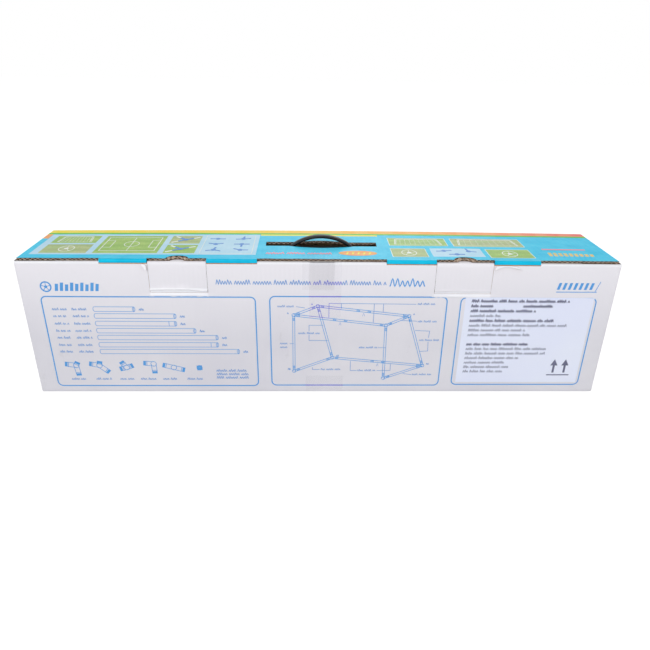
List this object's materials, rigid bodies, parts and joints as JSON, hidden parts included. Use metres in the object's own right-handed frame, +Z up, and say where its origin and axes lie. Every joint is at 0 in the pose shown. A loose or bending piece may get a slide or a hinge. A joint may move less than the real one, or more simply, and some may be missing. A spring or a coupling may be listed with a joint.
{
  "type": "boxed sports goal kit",
  "caption": "Long white corrugated carton with a printed hinged lid, lock tongues and a carry handle, packed with a goal's steel tubes, plastic joints and folded net.",
  "frame": {"origin": "middle of the carton's bottom face", "axes": "+X along the carton to the right, +Y from its front wall to the back wall, +Z up"},
  "size_m": [0.95, 0.1556, 0.256],
  "materials": {
    "white_board": "matte",
    "lid_print": "satin",
    "kraft_board": "matte",
    "black_plastic": "satin",
    "label_paper": "matte",
    "packing_tape": "gloss",
    "white_steel": "satin",
    "blue_plastic": "satin",
    "net_cord": "matte",
    "clear_bag": "matte"
  },
  "bodies": {
    "carton": {"bottom_panel": "white_board", "front_wall": "white_board", "back_wall": "white_board", "left_end_panel": "white_board", "right_end_panel": "white_board", "left_end_front_flap": "kraft_board", "left_end_back_flap": "kraft_board", "right_end_front_flap": "kraft_board", "right_end_back_flap": "kraft_board", "front_ledge_flap": "white_board", "label_sticker": "label_paper", "tape_front": "packing_tape", "tape_bottom": "packing_tape", "post_tube_left": "white_steel", "post_tube_right": "white_steel", "front_crossbar_tube": "white_steel", "front_crossbar_tube_swaged": "white_steel", "back_crossbar_tube": "white_steel", "back_crossbar_tube_swaged": "white_steel", "ground_bar_tube": "white_steel", "ground_bar_tube_swaged": "white_steel", "back_stay_tube_left": "white_steel", "top_side_tube_left": "white_steel", "ground_side_tube_left": "white_steel", "back_stay_tube_left_swaged": "white_steel", "back_stay_tube_right": "white_steel", "top_side_tube_right": "white_steel", "ground_side_tube_right": "white_steel", "back_stay_tube_right_swaged": "white_steel", "front_top_corner_left": "blue_plastic", "front_top_corner_right": "blue_plastic", "back_top_corner_left": "blue_plastic", "back_top_corner_right": "blue_plastic", "back_ground_corner_left": "blue_plastic", "back_ground_corner_right": "blue_plastic", "front_ground_elbow_left": "blue_plastic", "front_ground_elbow_right": "blue_plastic", "straight_joint_front": "blue_plastic", "straight_joint_back": "blue_plastic", "straight_joint_ground": "blue_plastic", "folded_net": "net_cord", "sleeve_bag": "clear_bag"},
    "lid": {"lid_panel": "lid_print", "tape_lid": "packing_tape"},
    "tongue_far_left": {"lock_tongue_far_left": "lid_print"},
    "tongue_near_left": {"lock_tongue_near_left": "lid_print"},
    "tongue_near_right": {"lock_tongue_near_right": "lid_print"},
    "tongue_far_right": {"lock_tongue_far_right": "lid_print"},
    "left_ear": {"left_lid_ear": "white_board"},
    "right_ear": {"right_lid_ear": "white_board"},
    "left_tab": {"left_press_tab": "white_board"},
    "right_tab": {"right_press_tab": "white_board"},
    "handle": {"carry_handle": "black_plastic"}
  },
  "joints": [
    {"name": "lid_hinge", "type": "hinge", "parent": "carton", "child": "lid", "pos_m": [0, 0.0778, 0.23487], "axis": [-1, 0, 0], "range_deg": [0, 175]},
    {"name": "tongue_far_left_crease", "type": "hinge", "parent": "lid", "child": "tongue_far_left", "pos_m": [-0.308, -0.0775, 0.23472], "axis": [-1, 0, 0], "range_deg": [0, 35]},
    {"name": "tongue_near_left_crease", "type": "hinge", "parent": "lid", "child": "tongue_near_left", "pos_m": [-0.1405, -0.0775, 0.23472], "axis": [-1, 0, 0], "range_deg": [0, 35]},
    {"name": "tongue_near_right_crease", "type": "hinge", "parent": "lid", "child": "tongue_near_right", "pos_m": [0.1405, -0.0775, 0.23472], "axis": [-1, 0, 0], "range_deg": [0, 35]},
    {"name": "tongue_far_right_crease", "type": "hinge", "parent": "lid", "child": "tongue_far_right", "pos_m": [0.308, -0.0775, 0.23472], "axis": [-1, 0, 0], "range_deg": [0, 35]},
    {"name": "left_ear_crease", "type": "hinge", "parent": "lid", "child": "left_ear", "pos_m": [-0.4667, 0, 0.23472], "axis": [0, -1, 0], "range_deg": [0, 88]},
    {"name": "right_ear_crease", "type": "hinge", "parent": "lid", "child": "right_ear", "pos_m": [0.4667, 0, 0.23472], "axis": [0, 1, 0], "range_deg": [0, 88]},
    {"name": "left_tab_crease", "type": "hinge", "parent": "carton", "child": "left_tab", "pos_m": [-0.2255, -0.0775, 0.18422], "axis": [1, 0, 0], "range_deg": [0, 95]},
    {"name": "right_tab_crease", "type": "hinge", "parent": "carton", "child": "right_tab", "pos_m": [0.2255, -0.0775, 0.18422], "axis": [1, 0, 0], "range_deg": [0, 95]},
    {"name": "handle_press", "type": "slide", "parent": "lid", "child": "handle", "axis": [0, 0, 1], "range_m": [-0.016, 0], "stiffness_N_per_m": 300, "springref_m": 0.003}
  ],
  "couplings": [
    {"joint": "tongue_far_left_crease", "follows": "lid_hinge", "ratio": 0.2},
    {"joint": "tongue_near_left_crease", "follows": "lid_hinge", "ratio": 0.2},
    {"joint": "tongue_near_right_crease", "follows": "lid_hinge", "ratio": 0.2},
    {"joint": "tongue_far_right_crease", "follows": "lid_hinge", "ratio": 0.2}
  ]
}
